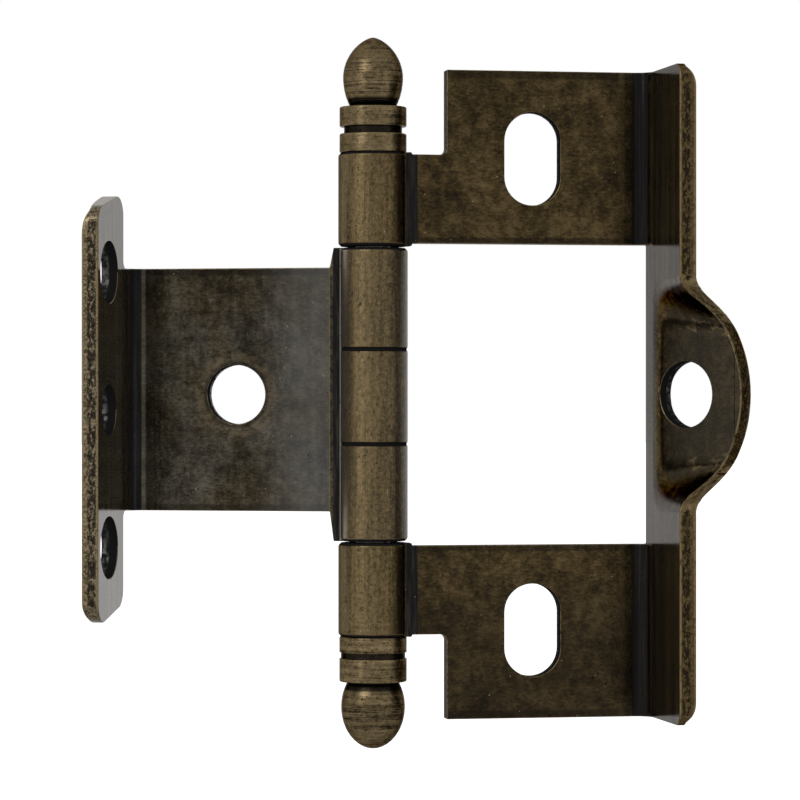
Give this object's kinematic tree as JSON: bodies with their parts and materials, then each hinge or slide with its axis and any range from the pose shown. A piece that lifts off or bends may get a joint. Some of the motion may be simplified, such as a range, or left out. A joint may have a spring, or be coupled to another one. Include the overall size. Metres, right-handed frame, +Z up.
{
  "type": "cabinet hinge",
  "caption": "Full inset cabinet hinge: two folded leaves that wrap a door and a face frame, a rolled barrel on a pin, and turned minaret tips.",
  "frame": {"origin": "on the pin's axis, half way up the barrel", "axes": "+Z up along the pin; +X along the frame leaf; -Y the way the frame leaf's flange points, towards the back of the cabinet's face frame edge"},
  "size_m": [0.0595, 0.0207, 0.0649],
  "materials": {
    "leaf_finish": "steel sheet with a dark mottled antique brass plating",
    "pin_steel": "drawn steel",
    "tip_brass": "turned, with an antique patina"
  },
  "bodies": {
    "frame": {"frame_leaf": "leaf_finish", "hinge_pin": "pin_steel", "top_finial": "tip_brass", "bottom_finial": "tip_brass"},
    "door": {"door_leaf": "leaf_finish"}
  },
  "joints": [
    {"name": "door_swing", "type": "hinge", "parent": "frame", "child": "door", "pos_m": [0, 0, 0], "axis": [0, 0, 1], "range_deg": [-158, 112]}
  ]
}
